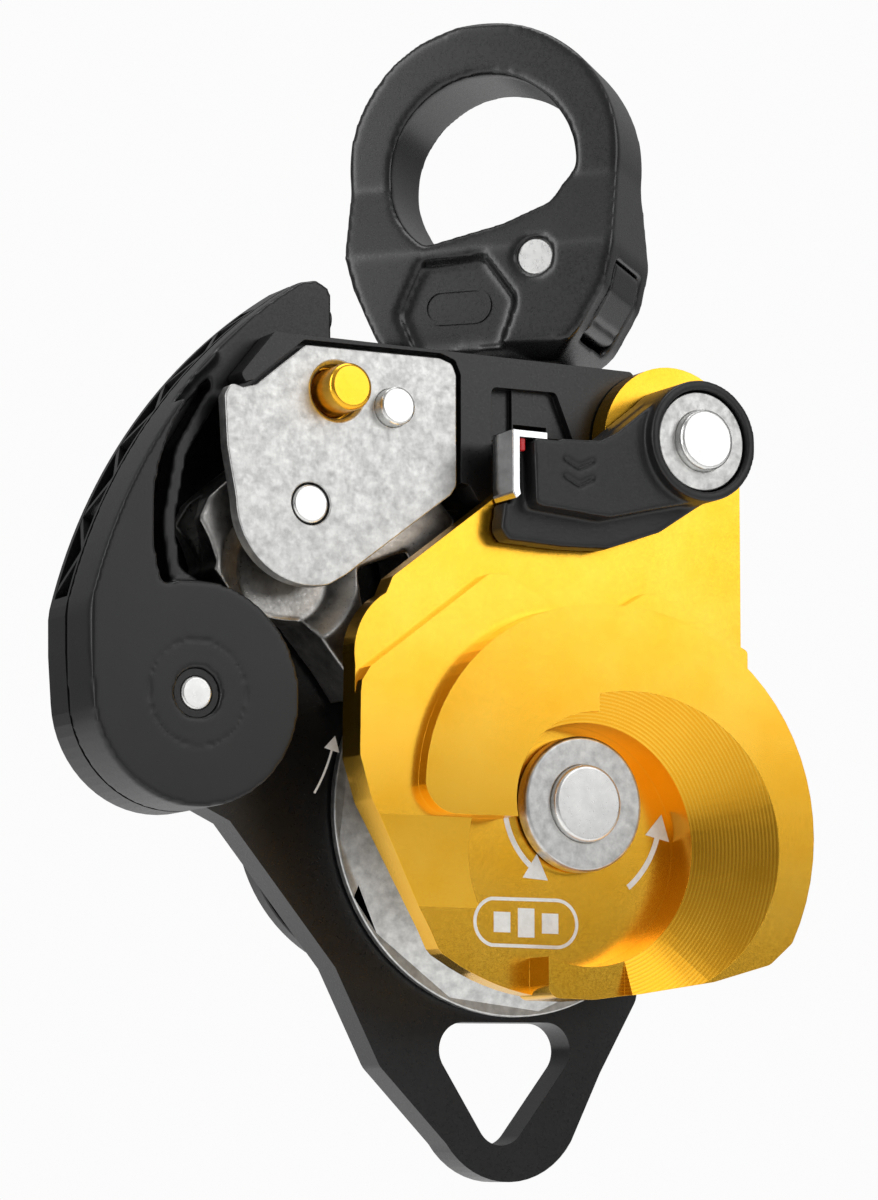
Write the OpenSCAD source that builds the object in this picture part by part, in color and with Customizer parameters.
// Progress-capture rope pulley with a release handle, a latched side plate,
// a becket and a turning eye. Lengths are in millimetres.
// Built round the main axle (x = z = 0); place() then moves the origin to the eye.
// X runs to the right, Y runs from front to back, Z runs up the load line.

/* [Plates] */
// Thickness of the middle plate that carries the becket
plate_t = 6; // [5:0.5:8]
// Thickness of the front cheek
cheek_t = 5; // [4.5:0.5:6]
// Thickness of the moving side plate
side_t = 4; // [3.5:0.5:5]
// Thickness of the fixed rear side plate
rear_t = 3; // [2.5:0.5:5]
// Thickness of the stainless cover plate
cover_t = 2.6; // [2:0.2:3]
// Height of the top edge of the plates above the main axle
top_z = 72.7; // [71:0.1:76]

/* [Rope channels] */
// Gap between the middle plate and the front cheek
front_gap = 12; // [11:0.5:14]
// Gap between the middle plate and the rear side plate
rear_gap = 15; // [14:0.5:18]
// Side clearance of everything that turns between plates
run_gap = 0.5; // [0.4:0.1:0.8]

/* [Axles and pins] */
// Radius of the main axle
axle_r = 6.2; // [5.5:0.1:6.5]
// Radial clearance of a pin in the part that turns on it
pin_fit = 0.05; // [0.02:0.01:0.1]
// Radius of the cam pin
cam_pin_r = 3.1; // [2.5:0.1:3.5]
// Radius of the handle pin
handle_pin_r = 2.65; // [2.2:0.05:3]
// Radius of the spacer rivet
rivet_r = 3.1; // [2.5:0.1:3.5]
// Radius of the latch stud
stud_r = 5; // [4:0.1:5.5]
// Radius of the locking pin above the gate of the eye
lock_pin_r = 3.1; // [2.5:0.1:3.1]
// Radius of the hinge pin of the gate
gate_pin_r = 1.5; // [1:0.1:1.6]
// Radius of the post that the eye turns on
post_r = 5; // [4:0.25:6]

/* [Sheaves] */
// Radius of the rear flange of the front sheave
sheave_r = 33; // [31:0.5:33.5]
// Radius of the front flange of the front sheave
front_flange_r = 29; // [27:0.5:29.5]
// Radius of the bottom of the groove of the front sheave
groove_r = 21; // [19:0.5:22]
// Number of dished facets on each flank of the front groove
lobes = 12; // [8:1:12]
// Radius of the rear sheave
rear_sheave_r = 25; // [23:0.5:26]
// Radius of the bottom of the groove of the rear sheave
rear_groove_r = 18; // [17:0.5:20]
// Outer radius of the sheave bearings
bearing_r = 14; // [12.5:0.25:15]

/* [Side plate] */
// Radius of the friction pocket round the axle washer
pocket_r = 19.3; // [18:0.1:20]
// Height of the raised pad on the side plate
pad_h = 2; // [1:0.25:3]
// Height of the friction ring at its tip, above the side plate
ring_low = 4.5; // [4:0.25:6]
// Height of the friction ring at its highest side, above the side plate
ring_high = 12.7; // [11:0.1:14]
// Radius of the big washer on the main axle
washer_r = 10.85; // [9:0.05:12]
// Angle through which the side plate swings open
side_open = 110; // [60:5:120]

/* [Cam and cover] */
// Place of the cam pin, to the right of the main axle
cam_x = -45.2; // [-46:0.1:-44]
// Height of the cam pin above the main axle
cam_z = 45.8; // [45:0.1:47]
// Radius of the lock button
button_r = 3.8; // [3:0.1:4]
// How far the lock button stands proud
button_proud = 4.9; // [4:0.1:6]

/* [Handle] */
// Place of the handle pin, to the right of the main axle
handle_x = -64.3; // [-66:0.1:-63]
// Height of the handle pin above the main axle
handle_z = 14.9; // [14:0.1:16]
// Radius of the round hub of the handle
hub_r = 17.6; // [16:0.1:17.6]
// Wall of the handle round its open pockets
handle_wall = 2.4; // [1.8:0.1:3]

/* [Latch] */
// Place of the latch stud, to the right of the main axle
latch_x = 18.6; // [18:0.1:19.5]
// Height of the latch stud above the main axle
latch_z = 59.2; // [58.5:0.1:60]
// Outer radius of the latch lever round its stud
latch_hub_r = 9.9; // [9:0.1:10.5]

/* [Becket and eye] */
// Height of the middle of the becket hole below the main axle
becket_drop = 42; // [41:0.5:44]
// Radius of the rounded corners of the becket hole
becket_corner_r = 4.5; // [3:0.25:5]
// Height of the middle of the eye above the main axle
eye_z = 108; // [107:0.5:112]
// Radius of the opening of the eye
eye_r = 16.1; // [13:0.1:17]
// Radius of the outside of the eye
eye_out_r = 23.6; // [22:0.1:25]
// Thickness of the eye at its foot
eye_foot_t = 24; // [20:0.5:26]
// Thickness of the ring of the eye
eye_ring_t = 16; // [12:0.5:18]
// Angle that the eye is turned to about the load line
eye_turn = -47; // [-90:1:90]

/* [Hidden] */
$fn = 64;

cut = 0.01;                     // overshoot of a cut past the face it opens
far = 60;                       // longer than any piece is thick
soft = 0.3;                     // clearance of faces that only pass each other

// Faces along the axle, from the middle plate outwards; the front is -Y
plate_f = -plate_t / 2;
plate_b = plate_t / 2;
cheek_b = plate_f - front_gap;
cheek_f = cheek_b - cheek_t;
side_b = cheek_f - run_gap;
side_f = side_b - side_t;
rear_f = plate_b + rear_gap;
rear_b = rear_f + rear_t;
cover_b = cheek_f + cover_t;
sheave_b = plate_f - run_gap;
sheave_f = side_b + 2 * run_gap;
sheave_mid = (sheave_b + sheave_f) / 2;
rear_sheave_f = plate_b + run_gap;
rear_sheave_b = rear_f - run_gap;
rear_mid = (rear_sheave_f + rear_sheave_b) / 2;
rear_half = (rear_sheave_b - rear_sheave_f) / 2;

bearing_w = 8;
race_r = 11.5;                  // inner radius of the outer races
sleeve_r = 8.7;                 // outer radius of the inner races and spacers
ball_r = (race_r - sleeve_r) / 2 - pin_fit;
pitch_r = (race_r + sleeve_r) / 2;
crease = -8.5;                  // direction of one crease between two facets
flank_lip = 1.5;                // thickness of a flange at its rim
clutch_w = 3;

// Cover plate, cheek and cam
cover_arc_r = 13;
cover_gap = 0.8;                // gap between the cover plate and the rim of its recess
rivet_x = -30.8;
rivet_z = 62.4;
button_x = -40.6;
button_z = 64.2;
button_travel = 3;
cam_sweep_r = 17.6;
cam_open = 15;                  // how far the cam lifts off the rope
cam_f = cheek_b + run_gap;
cam_b = plate_f - 1;
jaw_b = cam_b - 4;              // the toothed jaw is narrower, so it enters the groove
teeth = 9;

// Handle
handle_f = cheek_f + run_gap;
handle_b = plate_f - run_gap;
handle_tip_f = cheek_b + run_gap;
handle_split = handle_f + 9.5;
handle_arc_r = 90.3;
handle_arc_x = handle_x + 69.8;
handle_arc_z = handle_z - 7.6;
handle_recess_r = 8.5;
stop_x = -38.6;
stop_z = 77.6;
rib_band = 5;                   // depth of the ribbed pockets in the back of the handle

// Head of the middle plate that holds the eye
head_w = 30;
head_z = 50;
post_head_r = 9;
post_head_t = 4;
washer_t = 1.3;
eye_base_z = top_z + washer_t + 0.2;

// Latch
lever_b = side_f - 0.4;
lever_f = side_f - 8;
lever_hub_f = side_f - 10.5;
lever_skirt_f = side_f - 4.2;
latch_washer_r = 8.1;
track_low = 49;                 // radii of the track that the hook swings along
track_high = 60.4;
track_floor = cheek_f + 3.5;

// Friction ring and pad of the side plate
pad_end = 17;
pad_slope = atan2(pad_h, pad_end - 3);
lip_h = 6;
ring_tilt = atan2(ring_high - ring_low, 67);

// Gate of the eye, which turns outwards about a pin at its foot
lock_x = 10;
lock_z = eye_z - 16.4;
gate_x = 16.5;
gate_z = eye_z - 26.5;
gate_r = 10.9;
gate_edge = 13.6;
gate_t = 15;
gate_pin_end = 11;

// Points of an arc about c from angle a0 to a1
function arc(c, r, a0, a1, n = 16) =
    [for (i = [0:n]) c + r * [cos(a0 + (a1 - a0) * i / n), sin(a0 + (a1 - a0) * i / n)]];

// Everything is built round the main axle; the record's origin is the middle of the eye
module place() translate([0, 0, -eye_z]) children();

// A flat piece between two faces, drawn as seen from the front
module slab(front, back) translate([0, back, 0]) rotate([90, 0, 0])
    linear_extrude(back - front) children();

// A round piece along Y between two faces
module rod(r, front, back, x = 0, z = 0) translate([x, back, z]) rotate([90, 0, 0])
    cylinder(r = r, h = back - front);

// A tube along Y
module tube(r_out, r_in, front, back, x = 0, z = 0) difference() {
    rod(r_out, front, back, x, z);
    rod(r_in, front - 1, back + 1, x, z);
}

// A round piece along Y whose front rim is chamfered
module button_rod(r, chamfer, front, back, x = 0, z = 0) {
    rod(r, front + chamfer, back, x, z);
    translate([x, front + chamfer, z]) rotate([90, 0, 0])
        cylinder(r1 = r, r2 = r - chamfer, h = chamfer);
}

// Rounds the outer corners of a flat outline
module rounded(r) offset(r = r, $fn = 32) offset(delta = -r) children();

// A wire of radius w wound n turns at radius r along Y
module coil(r, w, n, front, back, x, z) {
    steps = 14;
    sides = 8;
    rings = n * steps;
    pitch = (back - front - 2 * w) / n;
    points = [for (i = [0:rings], k = [0:sides - 1])
        let (a = 360 * i / steps, b = 360 * k / sides)
        [x + (r + w * cos(b)) * cos(a), front + w + pitch * i / steps + w * sin(b),
         z + (r + w * cos(b)) * sin(a)]];
    walls = [for (i = [0:rings - 1], k = [0:sides - 1])
        let (j = (k + 1) % sides)
        [i * sides + k, i * sides + j, (i + 1) * sides + j, (i + 1) * sides + k]];
    first = [[for (k = [sides - 1:-1:0]) k]];
    last = [[for (k = [0:sides - 1]) rings * sides + k]];
    polyhedron(points, concat(walls, first, last));
}

// ---- Eye and its post; built face-on, then turned about the load line ----

module turned() place() rotate([0, 0, eye_turn]) children();

module eye_outline() polygon(concat(
    arc([0, eye_z + 1.7], eye_out_r, -8, 188, 40),
    [[-23.2, 94], [-21.6, 88], [-17.5, 79], [-14.5, eye_base_z],
     [13, eye_base_z], [17.5, 78.5], [22, 86], [23.6, 93]]));

module eye_hole() intersection() {
    translate([0, eye_z]) circle(r = eye_r);
    polygon([[-30, 90], [-9, eye_z - 13.3], [4, eye_z - 10.2], [12, eye_z - 6.8],
             [17, eye_z + 1], [17, eye_z + 30], [-30, eye_z + 30]]);
}

// Side view of the gate; room = the clearance it is drawn with
module gate_shape(foot_r, room = 0) {
    translate([gate_x, gate_z]) circle(r = foot_r);
    intersection() {
        translate([gate_x, gate_z]) circle(r = gate_r + room);
        translate([gate_edge - room, gate_z]) square([30, 30]);
    }
}

module swivel_eye() turned() color([0.09, 0.09, 0.1]) difference() {
    intersection() {
        slab(-far, far) difference() {
            eye_outline();
            eye_hole();
        }
        rotate([90, 0, 90]) translate([0, 0, -far]) linear_extrude(2 * far) polygon([
            [-eye_foot_t / 2, eye_base_z + 3], [-eye_foot_t / 2 + 3, eye_base_z],
            [eye_foot_t / 2 - 3, eye_base_z], [eye_foot_t / 2, eye_base_z + 3],
            [eye_foot_t / 2, eye_z - 15], [eye_ring_t / 2, eye_z - 2], [eye_ring_t / 2, eye_z + 40],
            [-eye_ring_t / 2, eye_z + 40], [-eye_ring_t / 2, eye_z - 2], [-eye_foot_t / 2, eye_z - 15]]);
    }
    // slot that the gate swings in
    slab(-gate_t / 2, gate_t / 2) gate_shape(3.4, soft);
    rod(lock_pin_r, -far, far, lock_x, lock_z);
    rod(gate_pin_r, -gate_pin_end, gate_pin_end, gate_x, gate_z);
    translate([0, 0, eye_base_z - 1]) cylinder(r = post_r, h = 13);
    // shallow six-sided recess on each face
    for (s = [-1, 1]) scale([1, s, 1]) slab(-far, -eye_foot_t / 2 + 1.4) polygon([
        [-9.5, 91.5], [1.5, 92.2], [7, 84.5], [4.2, 76.8], [-10.4, 76.2], [-13.4, 83]]);
}

module swivel_gate() turned() color([0.1, 0.1, 0.11]) difference() {
    slab(-gate_t / 2 + soft, gate_t / 2 - soft) intersection() {
        gate_shape(2.3);
        eye_outline();
    }
    rod(gate_pin_r + pin_fit, -far, far, gate_x, gate_z);
}

module gate_pin() turned() color([0.78, 0.78, 0.78])
    rod(gate_pin_r, -gate_pin_end, gate_pin_end, gate_x, gate_z);

module lock_pin() turned() color([0.78, 0.78, 0.78])
    rod(lock_pin_r, -eye_foot_t / 2 + 1.2, eye_foot_t / 2 - 1.2, lock_x, lock_z);

module swivel_post() turned() color([0.7, 0.7, 0.72]) {
    translate([0, 0, head_z + 5]) cylinder(r = post_head_r, h = post_head_t);
    translate([0, 0, head_z + 5]) cylinder(r = post_r, h = eye_base_z + 11.5 - head_z - 5);
}

module swivel_washer() place() color([0.75, 0.75, 0.76]) difference() {
    translate([0, 0, top_z]) cylinder(r = 12.5, h = washer_t);
    translate([0, 0, top_z - 1]) cylinder(r = post_r + 0.4, h = washer_t + 2);
}

module swivel_bush() place() color([0.72, 0.6, 0.3]) difference() {
    translate([0, 0, head_z + 9.6]) cylinder(r = post_r + 2, h = top_z - head_z - 9.6);
    translate([0, 0, head_z]) cylinder(r = post_r + pin_fit, h = far);
}

// ---- Plates ----

module becket_hole() hull() {
    translate([-8.2, -becket_drop + 3.6]) circle(r = becket_corner_r);
    translate([7.4, -becket_drop + 3.8]) circle(r = becket_corner_r);
    translate([-1.2, -becket_drop - 7.2]) circle(r = becket_corner_r);
}

module middle_outline() rounded(3) {
    polygon(concat(
        [[24.8, -29.7], [17.7, -41.8]],
        arc([0.2, -45.6], 14, -32, -146, 16),
        [[-23.6, -41.2], [-31.7, -25.6], [-50.6, -3]],
        arc([handle_x, handle_z], 11, 262, 110, 12),
        [[-66, 40], [-62, 58], [-54, 66], [-40, top_z], [18, top_z], [22, 66]],
        arc([0, 0], 34.6, 24, -42, 20)));
}

module becket_plate() place() color([0.1, 0.1, 0.11]) difference() {
    union() {
        slab(plate_f, plate_b) difference() {
            middle_outline();
            becket_hole();
        }
        translate([-head_w / 2, cheek_b, head_z]) cube([head_w, rear_f - cheek_b, top_z - head_z]);
    }
    rod(axle_r, -far, far);
    rod(cam_pin_r, -far, far, cam_x, cam_z);
    rod(handle_pin_r, -far, far, handle_x, handle_z);
    rod(rivet_r, -far, far, rivet_x, rivet_z);
    // cavity for the head of the post, open towards the sheaves
    translate([0, 0, head_z - 1]) cylinder(r = post_head_r + 0.6, h = 10.6);
    translate([0, 0, head_z]) cylinder(r = post_r + 2, h = far);
    for (p = head_screws()) rod(1.9, cheek_b - 1, cheek_b + 9, p[0], p[1]);
    for (p = rear_head_screws()) rod(1.9, rear_f - 9, rear_f + 1, p[0], p[1]);
}

function head_screws() = [[12.8, 62.9]];
function rear_head_screws() = [[-11.5, 55], [11.5, 55], [-11.5, 68], [11.5, 68]];

module cover_outline() polygon(concat(
    [[-19, 50.8], [-19, 68.9], [-19.8, 70.7], [-22, 71.4], [-46.2, 71.1], [-50.6, 67.5],
     [-54.9, 63.9], [-57.1, 63.3], [-59.3, 63.8], [-60.3, 61.8], [-59.8, 53.8]],
    arc([cam_x, cam_z], cover_arc_r, 181, 285, 16),
    [[-39, 34.9], [-20, 49.3]]));

module cheek_outline() rounded(0.8) polygon([[-51.7, top_z], [14, top_z], [18, top_z - 4],
    [18, 48], [-10, 46.5], [-15.1, 48.9], [-16.6, 51.2], [-19.6, 51.6], [-36, 41], [-45, 38],
    [-53, 42], [-56, 50], [-55, 60], [-54.9, 63.8], [-56.4, 63.8], [-57.6, 65.4]]);

module window_outline() rounded(1) polygon([[-12.5, 50], [-12.5, 67.6], [-0.4, 67.8],
    [3.1, 59.5], [3.1, 50]]);

module track_outline() intersection() {
    difference() {
        circle(r = track_high);
        circle(r = track_low);
    }
    translate([-12.5, 40]) square([40, 30]);
}

module front_cheek() place() color([0.12, 0.12, 0.13]) difference() {
    slab(cheek_f, cheek_b) cheek_outline();
    // recess that the cover plate lies in
    slab(cheek_f - 1, cover_b) offset(r = cover_gap, $fn = 24) cover_outline();
    slab(cheek_f - 1, cheek_f + 1.5) window_outline();
    slab(cheek_f - 1, cheek_f + 2.5) intersection() {
        window_outline();
        translate([-20, 40]) square([12.1, 40]);
    }
    slab(cheek_f - 1, track_floor) track_outline();
    // slot above the hook
    slab(cheek_f - 1, cheek_b + 1) translate([-7.6, 59.8]) square([6.2, 2.3]);
    rod(cam_pin_r, -far, far, cam_x, cam_z);
    rod(rivet_r, -far, far, rivet_x, rivet_z);
    rod(button_r + 1.6, -far, far, button_x, button_z);
    for (p = head_screws()) rod(1.9, -far, far, p[0], p[1]);
    for (p = head_screws()) rod(3.4, cheek_f - 1, track_floor + 0.01, p[0], p[1]);
}

module cheek_screw() place() color([0.6, 0.6, 0.62]) for (p = head_screws()) difference() {
    union() {
        rod(1.9, track_floor, cheek_b + 8, p[0], p[1]);
        rod(3.1, cheek_f + 1.6, track_floor, p[0], p[1]);
    }
    rod(1.6, cheek_f, cheek_f + 2.9, p[0], p[1], $fn = 6);
}

module cover_plate() place() color([0.72, 0.72, 0.72]) difference() {
    slab(cheek_f, cover_b) rounded(1.2) cover_outline();
    rod(cam_pin_r + 0.3, -far, far, cam_x, cam_z);
    rod(rivet_r, -far, far, rivet_x, rivet_z);
    rod(button_r + 0.5, -far, far, button_x, button_z);
    translate([button_x, cheek_f + 0.7, button_z]) rotate([90, 0, 0])
        cylinder(r1 = button_r + 0.5, r2 = button_r + 1.5, h = 1);
}

module cover_rivet() place() color([0.8, 0.8, 0.8]) {
    button_rod(rivet_r, 0.3, cheek_f - 2.3, plate_b, rivet_x, rivet_z);
    tube(rivet_r + 1.6, rivet_r - 0.5, cheek_b, plate_f, rivet_x, rivet_z);
}

module rear_outline() rounded(4) polygon(concat(
    arc([-11.5, 1], 26.5, 165, 270, 28),
    arc([0, 1], 26.5, -90, 8, 24),
    [[22, 40], [16, top_z], [-16, top_z], [-24, 46]]));

module rear_side_plate() place() color([0.13, 0.13, 0.14]) difference() {
    slab(rear_f, rear_b) rear_outline();
    rod(axle_r, -far, far);
    for (p = rear_head_screws()) rod(1.9, -far, far, p[0], p[1]);
}

module rear_screws() place() color([0.6, 0.6, 0.62]) for (p = rear_head_screws()) difference() {
    union() {
        rod(1.9, rear_f - 8, rear_b, p[0], p[1]);
        rod(3.2, rear_b, rear_b + 2, p[0], p[1]);
    }
    rod(1.6, rear_b + 0.8, rear_b + 3, p[0], p[1], $fn = 6);
}

// ---- Main axle, sheaves and their bearings ----

module main_axle() place() color([0.82, 0.82, 0.82]) {
    button_rod(axle_r, 0.4, side_f - 4.5, rear_b + 3, 0, 0);
    rod(axle_r + 3, rear_b + 3, rear_b + 3.8);
}

module axle_washer() place() color([0.68, 0.68, 0.68]) difference() {
    button_rod(washer_r, 0.4, side_f - 3.1, side_f - 0.5);
    rod(axle_r, -far, far);
}

module axle_nut() place() color([0.66, 0.66, 0.68]) tube(axle_r + 5, axle_r, rear_b, rear_b + 3);

module front_spacers() place() color([0.6, 0.6, 0.62]) {
    tube(sleeve_r, axle_r, sheave_mid + bearing_w / 2, plate_f);
    tube(sleeve_r, axle_r, side_b + run_gap, sheave_mid - bearing_w / 2);
}

module rear_spacers() place() color([0.6, 0.6, 0.62]) {
    tube(sleeve_r, axle_r, plate_b, rear_mid - bearing_w / 2);
    tube(sleeve_r, axle_r, rear_mid + bearing_w / 2, rear_f);
}

// One flank of the faceted groove, a frustum with a flat for each facet
module facet_flank(rim, low, rim_y, mid_y) {
    front_r = rim_y < mid_y ? rim : low;
    back_r = rim_y < mid_y ? low : rim;
    rotate([0, crease, 0]) translate([0, max(rim_y, mid_y), 0]) rotate([90, 0, 0])
        cylinder(r1 = back_r, r2 = front_r, h = abs(rim_y - mid_y), $fn = lobes);
}

module faceted_sheave() place() color([0.66, 0.66, 0.66]) difference() {
    union() {
        rod(sheave_r, sheave_b - flank_lip, sheave_b);
        facet_flank(sheave_r - 0.3, groove_r - 1, sheave_b - flank_lip + 0.2, sheave_mid);
        rod(groove_r, sheave_mid - 2.5, sheave_mid + 2.5);
        facet_flank(front_flange_r - 0.3, groove_r - 1, sheave_f + flank_lip - 0.2, sheave_mid);
        rod(front_flange_r, sheave_f, sheave_f + flank_lip);
    }
    rod(bearing_r, -far, far);
}

module bearing_outer(mid) tube(bearing_r, race_r, mid - bearing_w / 2, mid + bearing_w / 2);

module bearing_inner(mid) tube(sleeve_r, axle_r, mid - bearing_w / 2, mid + bearing_w / 2);

module bearing_balls(mid) for (i = [0:11]) rotate([0, i * 30, 0])
    translate([pitch_r, mid, 0]) sphere(r = ball_r, $fn = 32);

module front_bearing_outer() place() color([0.62, 0.62, 0.64]) bearing_outer(sheave_mid);
module front_bearing_inner() place() color([0.62, 0.62, 0.64]) bearing_inner(sheave_mid);
module front_bearing_balls() place() color([0.8, 0.8, 0.82]) bearing_balls(sheave_mid);
module rear_bearing_outer() place() color([0.62, 0.62, 0.64]) bearing_outer(rear_mid);
module rear_bearing_inner() place() color([0.62, 0.62, 0.64]) bearing_inner(rear_mid);
module rear_bearing_balls() place() color([0.8, 0.8, 0.82]) bearing_balls(rear_mid);

module clutch_cup() place() color([0.6, 0.58, 0.5])
    tube(bearing_r, race_r, sheave_b - clutch_w - 0.2, sheave_b - 0.2);

module clutch_rollers() place() color([0.8, 0.8, 0.82]) for (i = [0:15])
    rotate([0, i * 22.5, 0]) rod(ball_r, sheave_b - clutch_w, sheave_b - 0.4, pitch_r, 0);

module rear_sheave() place() color([0.16, 0.16, 0.17]) translate([0, rear_mid, 0])
    rotate([90, 0, 0]) rotate_extrude() polygon([[bearing_r, -rear_half], [rear_sheave_r, -rear_half],
        [rear_sheave_r, -rear_half + flank_lip], [rear_groove_r, -1.5], [rear_groove_r, 1.5],
        [rear_sheave_r, rear_half - flank_lip], [rear_sheave_r, rear_half], [bearing_r, rear_half]]);

// ---- Cam ----

module cam_outline() polygon(concat(
    [[-19, 49.4], [-30, 53.5], [-42, 57], [-50, 55], [-57, 49.5], [-60.4, 46.4], [-62, 43],
     [-60.2, 40], [-58.8, 36.4]],
    arc([cam_x, cam_z], cam_sweep_r, 217, 277, 12),
    [[-36.6, 21], [-31.2, 13.6], [-28.9, 14.6], [-26.4, 19.6], [-23.4, 24.2], [-20.5, 31],
     [-18, 40], [-16.2, 46.3]]));

module cam() place() color([0.3, 0.3, 0.31]) difference() {
    slab(cam_f, cam_b) cam_outline();
    rod(cam_pin_r + 1.5, -far, far, cam_x, cam_z);
    // the jaw is thinned so that it enters the groove of the sheave
    rod(sheave_r + 4, jaw_b, plate_f);
    // dished front face
    translate([cam_x - 1, cam_f - 26, cam_z - 10]) rotate([90, 0, 0])
        translate([0, 0, -28.4]) cylinder(r1 = 8, r2 = 13, h = 3);
    // window through the web
    slab(-far, far) polygon([[-34, 37], [-25, 40.5], [-24, 36], [-28, 29], [-33, 31]]);
    // V groove down the tail
    translate([-66, (cam_f + cam_b) / 2, 28]) rotate([0, 0, -45]) cube([5.2, 5.2, 26]);
    // teeth of the jaw
    for (i = [0:teeth - 1]) rotate([0, -(124 + i * 3.4), 0])
        translate([sheave_r - 0.2, -far, 0]) rotate([0, 45, 0]) cube([1.1, 2 * far, 1.1]);
}

module cam_bush() place() color([0.72, 0.6, 0.3])
    tube(cam_pin_r + 1.5, cam_pin_r + pin_fit, cam_f, cam_b, cam_x, cam_z);

module cam_pin() place() color([0.78, 0.78, 0.78]) button_rod(cam_pin_r, 0.3, cheek_f, plate_b, cam_x, cam_z);

module cam_spring() place() color([0.5, 0.5, 0.52])
    coil(cam_pin_r + 1.3, 0.35, 2, cam_b + 0.05, plate_f - 0.05, cam_x, cam_z);

// ---- Lock button ----

module lock_button() place() color([0.9, 0.62, 0.12]) {
    button_rod(button_r, 0.5, cheek_f - button_proud, cover_b + 0.3, button_x, button_z);
    rod(button_r + 1.2, cover_b + 0.3, cover_b + 1.3, button_x, button_z);
}

module button_spring() place() color([0.5, 0.5, 0.52])
    coil(button_r - 0.6, 0.4, 5, cover_b + 1.3, plate_f - button_travel - 0.5, button_x, button_z);

// ---- Release handle ----

module handle_outline() rounded(1.5) polygon(concat(
    arc([handle_x, handle_z], hub_r, 60, -176, 40),
    [[-82.4, 21], [-82.5, 26.8]],
    arc([handle_arc_x, handle_arc_z], handle_arc_r, 166.5, 123.5, 28),
    [[-41.5, 83.2], [-39, 82], [-38.6, 70.2], [-52, 68], [-59, 61.5], [-64, 53], [-66, 42],
     [-65, 35]]));

module handle_pocket() intersection() {
    offset(delta = -handle_wall) handle_outline();
    difference() {
        translate([-38, 42]) circle(r = 34);
        translate([handle_x, handle_z]) circle(r = hub_r);
        translate([-60, 60]) square([40, 40]);
    }
}

// the raised face of the handle, left of the cheek
module handle_face() difference() {
    handle_outline();
    difference() {
        translate([-38, 42]) circle(r = 34);
        translate([handle_x, handle_z]) circle(r = hub_r);
    }
    translate([-59.5, 55]) square([40, 40]);
}

function handle_screw_points() = [[-78, 22], [-74.5, 44], [-46, 77.5]];

module handle_front_shell() place() color([0.08, 0.08, 0.09]) difference() {
    union() {
        slab(handle_f, handle_tip_f + cut) handle_face();
        slab(handle_tip_f, handle_split) difference() {
            handle_outline();
            handle_pocket();
        }
    }
    rod(handle_pin_r + 1.2, -far, far, handle_x, handle_z);
    tube(handle_recess_r, handle_recess_r - 0.5, handle_f - 1, handle_f + 0.9, handle_x, handle_z);
    // the face slopes back where it slips behind the cheek
    intersection() {
        slab(handle_f - 5, handle_tip_f) translate([-80, 52]) square([60, 40]);
        translate([-71, handle_f - 4, 63.5]) rotate([0, 36, 0]) rotate([0, 0, 26]) cube([30, 5, 30]);
    }
    for (p = handle_screw_points()) rod(0.9, handle_split - 4, handle_split + 1, p[0], p[1]);
    stop_socket();
}

module handle_rear_shell() place() color([0.08, 0.08, 0.09]) difference() {
    union() {
        difference() {
            slab(handle_split, handle_b) handle_outline();
            // band of open pockets in the outer edge
            slab(handle_split + 0.6, handle_b - 1.1) rib_zone();
        }
        for (i = [0:8]) handle_rib(i);
    }
    rod(handle_pin_r + 1.2, -far, far, handle_x, handle_z);
    for (p = handle_screw_points()) rod(0.9, handle_split - 1, handle_b - 0.4, p[0], p[1]);
    stop_socket();
}

module rib_zone() difference() {
    polygon(concat(
        arc([handle_arc_x, handle_arc_z], handle_arc_r + 3, 165.5, 128, 28),
        arc([handle_arc_x, handle_arc_z], handle_arc_r - rib_band, 128, 165.5, 28)));
    offset(delta = 0.2) for (p = handle_screw_points()) translate(p) circle(r = 1.6);
}

// one slanting rib of the zigzag between the rails
module handle_rib(i) {
    angle = 162.8 - i * 4.2;
    band = handle_b - 1.1 - handle_split - 0.6;
    slant = (i % 2 == 0 ? 1 : -1) * 48;
    intersection() {
        translate([handle_arc_x, handle_split + 0.6 + band / 2, handle_arc_z]) rotate([0, -angle, 0])
            translate([handle_arc_r - rib_band - 0.5, 0, 0]) rotate([slant, 0, 0])
            translate([0, -6, -0.4]) cube([rib_band + 0.4, 12, 0.8]);
        slab(handle_split + 0.3, handle_b - 0.8) handle_outline();
    }
}

module handle_pin() place() color([0.9, 0.9, 0.9])
    button_rod(handle_pin_r, 0.3, handle_f + 0.3, plate_b, handle_x, handle_z);

module handle_bush() place() color([0.02, 0.02, 0.02])
    tube(handle_pin_r + 1.2, handle_pin_r + pin_fit, handle_f + 0.6, handle_b, handle_x, handle_z);

module handle_screws() place() color([0.5, 0.5, 0.52])
    for (p = handle_screw_points()) rod(0.9, handle_split - 3.8, handle_b - 0.5, p[0], p[1]);

// Rubber stop at the tip of the handle
module stop_socket() translate([stop_x - 2.5, handle_split - 0.3, stop_z]) rotate([0, 90, 0])
    cylinder(r = 1.6, h = 6);

module handle_stop() place() color([0.05, 0.05, 0.05])
    translate([stop_x, handle_split - 0.3, stop_z]) rotate([0, 90, 0]) {
        translate([0, 0, -2.5]) cylinder(r = 1.6, h = 3);
        cylinder(r = 1.9, h = 1.1);
    }

// ---- Moving side plate ----

module side_outline() rounded(1) polygon(concat(
    arc([latch_x + 0.6, latch_z + 0.8], 13.1, 0, 187, 28),
    [[2, 52], [-3, 47.5], [-9.2, 47.5], [-11.5, 50.9], [-33, 34.6]],
    arc([-28.6, 22.2], 11.2, 120, 190, 12),
    [[-39.8, 6], [-37.7, -0.8], [-26.3, -20.6], [-24.9, -23.4], [-22.9, -25.5]],
    arc([-2, 9.4], 40.2, 238.6, 272, 10),
    [[7, -29.5], [19, -27.4], [29, -24.4], [32, -18]]));

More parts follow.
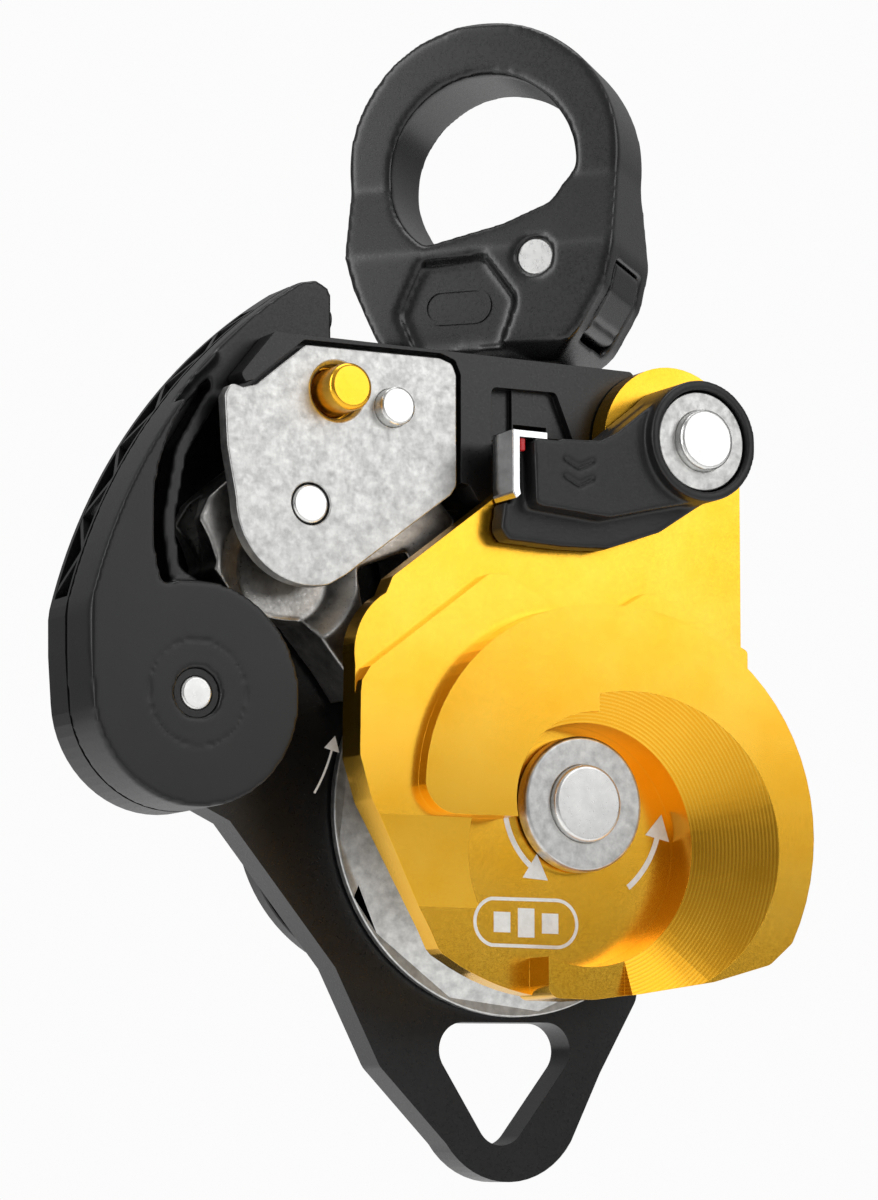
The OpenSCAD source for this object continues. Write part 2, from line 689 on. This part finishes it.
module pad_outline() rounded(1) polygon([[-39.8, 14.4], [-39.5, 17.6], [-38, 19.9], [-16.6, 36],
    [-13.4, 36], [-1, 30], [6, 31], [12.4, 34.8], [14.8, 34.8], [32.2, 26.6], [32.2, 10],
    [0, 0], [0, -pad_end], [-36.4, -pad_end], [-39.8, 6]]);

// The pad runs out to the face of the plate in a long slope below the axle
module raised_pad() difference() {
    slab(side_f - pad_h, side_b) intersection() {
        pad_outline();
        side_outline();
    }
    translate([-60, side_f, -pad_end]) rotate([pad_slope, 0, 0]) translate([0, -far, -2])
        cube([80, far, pad_end + 2]);
}

// Outside of the friction ring: its radius grows as it goes round from the tip
function ring_r(a) = a > 90 ? 31.4 - 1.9 * pow((a - 90) / 90, 1.3)
    : 31.4 + 8.4 * pow((90 - a) / 123, 1.15);

module ring_outline() rounded(2) polygon(concat(
    [for (i = [0:40]) let (a = -33 + i * 205 / 40) ring_r(a) * [cos(a), sin(a)]],
    arc([-24.2, 2.6], 5.4, 188, 262, 6),
    [[-12, -3], [-8.4, -24], [-8.4, -31], [0, -31.1], [7, -30.2], [19.5, -28.1], [29.4, -25.2]]));

module tongue() difference() {
    translate([-40, -2.8]) square([40, 44]);
    circle(r = 14.3);
}

module pocket_outline() difference() {
    translate([-1, -6.7]) circle(r = pocket_r);
    tongue();
}

// The ring rises from its tip on the left to its highest side on the right
module ring_solid() difference() {
    slab(side_f - ring_high - 2, side_b) ring_outline();
    translate([-29, side_f - ring_low, 0]) rotate([0, 0, -ring_tilt])
        translate([-30, -far, -far]) cube([140, far, 2 * far]);
    // lip at the bottom, left of where the ring starts to climb
    translate([-20, side_f - 60, -40]) cube([25.5, 60 - lip_h, 25]);
}

// Turned pocket, cylindrical up to the lip and then opening as a cone; the tongue is left standing
module friction_pocket() difference() {
    union() {
        rod(pocket_r, side_f - lip_h - cut, side_f, -1, -6.7);
        translate([-1, side_f - lip_h, -6.7]) rotate([90, 0, 0])
            cylinder(r1 = pocket_r, r2 = pocket_r + 24, h = 10.9);
    }
    slab(-far, 10) tongue();
}

module side_plate() place() color([0.95, 0.68, 0.12]) difference() {
    union() {
        slab(side_f, side_b) side_outline();
        raised_pad();
        ring_solid();
    }
    friction_pocket();
    rod(axle_r + 2, -far, far);
    rod(stud_r, -far, far, latch_x, latch_z);
}

module side_plate_bush() place() color([0.72, 0.6, 0.3])
    tube(axle_r + 2, axle_r + pin_fit, side_f, side_b, 0, 0);

// ---- Latch ----

module lever_outline() rounded(1) polygon(concat(
    [[-13.4, 57.4], [-15.6, 43], [-14.3, 41.3], [-4.2, 40.9], [4.1, 41.2], [14.1, 44.7]],
    arc([latch_x, latch_z], latch_hub_r, -48, 118, 20),
    [[3.4, 59.6], [0.6, 58]]));

module lever_body_outline() rounded(1) polygon(concat(
    [[-11.8, 57.4], [-11.4, 46.6], [2, 45.6], [12, 48]],
    arc([latch_x, latch_z], latch_hub_r, -60, 112, 20),
    [[3.6, 59.5], [0.6, 58]]));

module latch_lever() place() color([0.09, 0.09, 0.1]) difference() {
    union() {
        slab(lever_skirt_f, lever_b) lever_outline();
        slab(lever_f, lever_skirt_f + 0.1) lever_body_outline();
        rod(latch_hub_r, lever_hub_f, lever_b, latch_x, latch_z);
    }
    rod(stud_r + pin_fit, -far, far, latch_x, latch_z);
    rod(latch_washer_r + soft, lever_hub_f - 1, lever_hub_f + 2.6, latch_x, latch_z);
    rod(latch_hub_r - 1.8, lever_b - 3.4, lever_b + 1, latch_x, latch_z);
    // seat of the hook
    slab(lever_f - 1, lever_b + 1) {
        translate([-17, 47.3]) square([3.3, 12]);
        translate([-17, 57.3]) square([10.3, 3]);
    }
    // pressed-in marks that show which way the lever goes
    for (z = [51.3, 54.1]) slab(lever_f - 1, lever_f + 0.5) polygon([[-6.4, z + 0.9],
        [-3.5, z - 0.5], [-0.6, z + 0.9], [-0.6, z], [-3.5, z - 1.4], [-6.4, z]]);
}

// Bent strip on the nose of the lever, with a tooth that reaches into the track of the cheek
module latch_hook() place() color([0.8, 0.8, 0.82]) {
    slab(lever_f + 1, lever_b) polygon([[-15.2, 58.6], [-8.8, 58.6], [-8.8, 57.4], [-13.9, 57.4],
        [-13.9, 49.3], [-13.7, 48.2], [-14.6, 47.5], [-15.2, 48.6]]);
    slab(lever_b - 0.5, track_floor - 0.6) translate([-11.9, 57.4]) square([4.9, 1.2]);
    slab(lever_b, track_floor - 0.6) translate([-11.9, 56.6]) square([4.9, 1.4]);
}

module latch_stud() place() color([0.8, 0.8, 0.8])
    button_rod(stud_r, 0.4, lever_hub_f - 1, side_b, latch_x, latch_z);

module latch_washer() place() color([0.7, 0.7, 0.7])
    tube(latch_washer_r, stud_r, lever_hub_f + 0.9, lever_hub_f + 2.3, latch_x, latch_z);

module latch_spring() place() color([0.5, 0.5, 0.52])
    coil(stud_r + 1, 0.4, 3, lever_b - 3.2, side_f, latch_x, latch_z);

swivel_eye();
swivel_gate();
gate_pin();
lock_pin();
swivel_post();
swivel_washer();
swivel_bush();
becket_plate();
front_cheek();
cheek_screw();
cover_plate();
cover_rivet();
rear_side_plate();
rear_screws();
main_axle();
axle_washer();
axle_nut();
front_spacers();
rear_spacers();
faceted_sheave();
front_bearing_outer();
front_bearing_balls();
front_bearing_inner();
clutch_cup();
clutch_rollers();
rear_sheave();
rear_bearing_outer();
rear_bearing_balls();
rear_bearing_inner();
cam();
cam_pin();
cam_bush();
cam_spring();
lock_button();
button_spring();
handle_front_shell();
handle_rear_shell();
handle_pin();
handle_bush();
handle_screws();
handle_stop();
side_plate();
side_plate_bush();
latch_lever();
latch_hook();
latch_stud();
latch_washer();
latch_spring();
